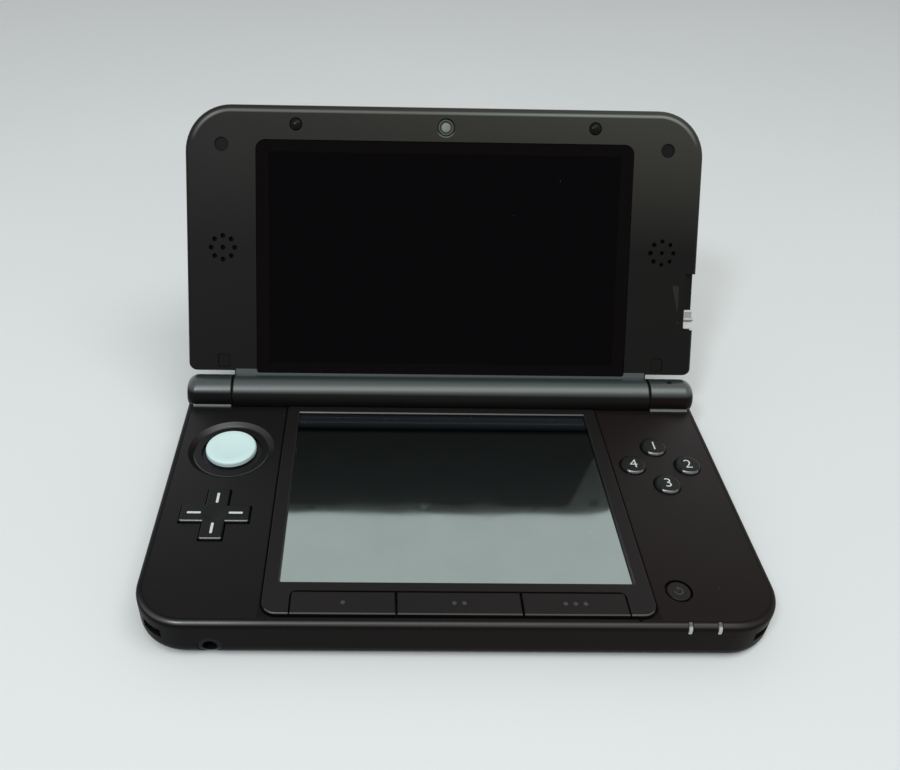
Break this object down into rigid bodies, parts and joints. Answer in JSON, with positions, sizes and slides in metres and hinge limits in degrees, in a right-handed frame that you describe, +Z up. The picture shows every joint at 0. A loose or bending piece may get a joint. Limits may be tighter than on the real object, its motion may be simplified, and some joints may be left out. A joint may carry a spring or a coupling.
{
  "type": "clamshell handheld game console",
  "caption": "Clamshell handheld game console with a wide-screen lid on a barrel hinge above a touch screen, slide pad, cross pad and buttons.",
  "frame": {"origin": "centre of the lower half's flat underside", "axes": "+X to the user's right, +Y back to the hinge, +Z up from the underside; the lid stands open at 120 degrees at rest"},
  "size_m": [0.1573, 0.1364, 0.0879],
  "materials": {
    "case_black": "fine matte, near black",
    "control_black": "semi-gloss moulded plastic",
    "pad_grey": "pale grey-green soft-touch",
    "slider_grey": "light grey",
    "inner_plastic": "moulded, dark grey",
    "window_glass": "glossy black window",
    "touch_glass": "glossy touch panel over the unlit screen",
    "display": "unlit liquid-crystal panel",
    "steel": "plated steel",
    "circuit_board": "green circuit board",
    "battery_pack": "wrapped cell pack",
    "rubber_grey": "silicone rubber",
    "rubber_black": "glossy black rubber",
    "light_pipe": "translucent light pipe",
    "camera": "camera barrel and lens",
    "flat_cable": "flat copper and film cable"
  },
  "bodies": {
    "base": {"bottom_cover": "case_black", "rear_case": "case_black", "front_case": "case_black", "screen_surround": "case_black", "touch_panel": "touch_glass", "lower_display": "display", "lower_display_tray": "steel", "main_board": "circuit_board", "battery": "battery_pack", "game_card_socket": "inner_plastic", "memory_card_socket": "steel", "headphone_jack": "inner_plastic", "charging_connector": "steel", "infrared_window": "window_glass", "light_pipes": "light_pipe", "microphone": "inner_plastic", "circle_pad_housing": "inner_plastic", "circle_pad_spring": "steel", "d_pad_mat": "rubber_grey", "face_button_mat": "rubber_grey", "key_mat": "rubber_grey", "key_board": "circuit_board", "shoulder_springs": "steel", "pivot_pins": "steel", "base_screws": "steel", "hinge_clutch": "steel"},
    "lid": {"lid_inner_case": "case_black", "lid_outer_cover": "case_black", "upper_display_window": "window_glass", "upper_display": "display", "speakers": "inner_plastic", "inner_camera": "camera", "outer_cameras": "camera", "camera_windows": "window_glass", "bumpers": "rubber_black", "screw_plugs": "case_black", "lid_screws": "steel", "hinge_shaft": "steel", "hinge_bush": "inner_plastic", "display_ribbon": "flat_cable"},
    "pad_carriage": {"circle_pad_carriage": "inner_plastic"},
    "circle_pad": {"circle_pad_slider": "inner_plastic", "circle_pad_cap": "pad_grey"},
    "d_pad_rocker": {"d_pad_pivot": "inner_plastic"},
    "d_pad": {"d_pad": "control_black"},
    "face_button_up": {"face_button_up": "control_black"},
    "face_button_right": {"face_button_right": "control_black"},
    "face_button_down": {"face_button_down": "control_black"},
    "face_button_left": {"face_button_left": "control_black"},
    "power_button": {"power_button": "control_black"},
    "key_left": {"key_left": "control_black"},
    "key_centre": {"key_centre": "control_black"},
    "key_right": {"key_right": "control_black"},
    "shoulder_button_left": {"shoulder_button_left": "case_black"},
    "shoulder_button_right": {"shoulder_button_right": "case_black"},
    "volume_slider": {"volume_slider": "case_black"},
    "wireless_switch": {"wireless_switch": "case_black"},
    "depth_slider": {"depth_slider": "slider_grey"},
    "memory_card_door": {"memory_card_door": "case_black"},
    "stylus": {"stylus": "case_black"}
  },
  "joints": [
    {"name": "lid_hinge", "type": "hinge", "parent": "base", "child": "lid", "pos_m": [0, 0.0402, 0.0133], "axis": [1, 0, 0], "range_deg": [-35, 120]},
    {"name": "circle_pad_y", "type": "slide", "parent": "base", "child": "pad_carriage", "axis": [0, 1, 0], "range_m": [-0.0022, 0.0022], "stiffness_N_per_m": 250},
    {"name": "circle_pad_x", "type": "slide", "parent": "pad_carriage", "child": "circle_pad", "axis": [1, 0, 0], "range_m": [-0.0022, 0.0022], "stiffness_N_per_m": 250},
    {"name": "d_pad_left_right", "type": "hinge", "parent": "base", "child": "d_pad_rocker", "pos_m": [-0.0623, -0.0114, 0.0089], "axis": [0, 1, 0], "range_deg": [-2, 2], "stiffness_Nm_per_rad": 0.25, "deforming": ["d_pad_mat"]},
    {"name": "d_pad_up_down", "type": "hinge", "parent": "d_pad_rocker", "child": "d_pad", "pos_m": [-0.0623, -0.0114, 0.0089], "axis": [1, 0, 0], "range_deg": [-2, 2], "stiffness_Nm_per_rad": 0.25},
    {"name": "face_button_up_press", "type": "slide", "parent": "base", "child": "face_button_up", "axis": [0, 0, -1], "range_m": [0, 0.0007], "stiffness_N_per_m": 1200, "deforming": ["face_button_mat"]},
    {"name": "face_button_right_press", "type": "slide", "parent": "base", "child": "face_button_right", "axis": [0, 0, -1], "range_m": [0, 0.0007], "stiffness_N_per_m": 1200},
    {"name": "face_button_down_press", "type": "slide", "parent": "base", "child": "face_button_down", "axis": [0, 0, -1], "range_m": [0, 0.0007], "stiffness_N_per_m": 1200},
    {"name": "face_button_left_press", "type": "slide", "parent": "base", "child": "face_button_left", "axis": [0, 0, -1], "range_m": [0, 0.0007], "stiffness_N_per_m": 1200},
    {"name": "power_button_press", "type": "slide", "parent": "base", "child": "power_button", "axis": [0, 0, -1], "range_m": [0, 0.0004], "stiffness_N_per_m": 2500},
    {"name": "key_left_press", "type": "slide", "parent": "base", "child": "key_left", "axis": [0, 0, -1], "range_m": [0, 0.00035], "stiffness_N_per_m": 3000, "deforming": ["key_mat"]},
    {"name": "key_centre_press", "type": "slide", "parent": "base", "child": "key_centre", "axis": [0, 0, -1], "range_m": [0, 0.00035], "stiffness_N_per_m": 3000},
    {"name": "key_right_press", "type": "slide", "parent": "base", "child": "key_right", "axis": [0, 0, -1], "range_m": [0, 0.00035], "stiffness_N_per_m": 3000},
    {"name": "shoulder_left_press", "type": "hinge", "parent": "base", "child": "shoulder_button_left", "pos_m": [-0.053, 0.0432, 0.0045], "axis": [0, 0, 1], "range_deg": [0, 3], "stiffness_Nm_per_rad": 0.4, "deforming": ["shoulder_springs"]},
    {"name": "shoulder_right_press", "type": "hinge", "parent": "base", "child": "shoulder_button_right", "pos_m": [0.053, 0.0432, 0.0045], "axis": [0, 0, -1], "range_deg": [0, 3], "stiffness_Nm_per_rad": 0.4},
    {"name": "volume_slide", "type": "slide", "parent": "base", "child": "volume_slider", "axis": [0, 1, 0], "range_m": [-0.0043, 0.0043]},
    {"name": "wireless_switch_slide", "type": "slide", "parent": "base", "child": "wireless_switch", "axis": [0, 1, 0], "range_m": [0, 0.0012], "stiffness_N_per_m": 300},
    {"name": "depth_slide", "type": "slide", "parent": "lid", "child": "depth_slider", "axis": [0, 0.5, 0.866], "range_m": [0, 0.0105]},
    {"name": "memory_card_door_hinge", "type": "hinge", "parent": "base", "child": "memory_card_door", "pos_m": [0.0771, 0.0288, 0.0051], "axis": [0, 0, 1], "range_deg": [0, 100]},
    {"name": "stylus_slide", "type": "slide", "parent": "base", "child": "stylus", "axis": [1, 0, 0], "range_m": [0, 0.096]}
  ]
}
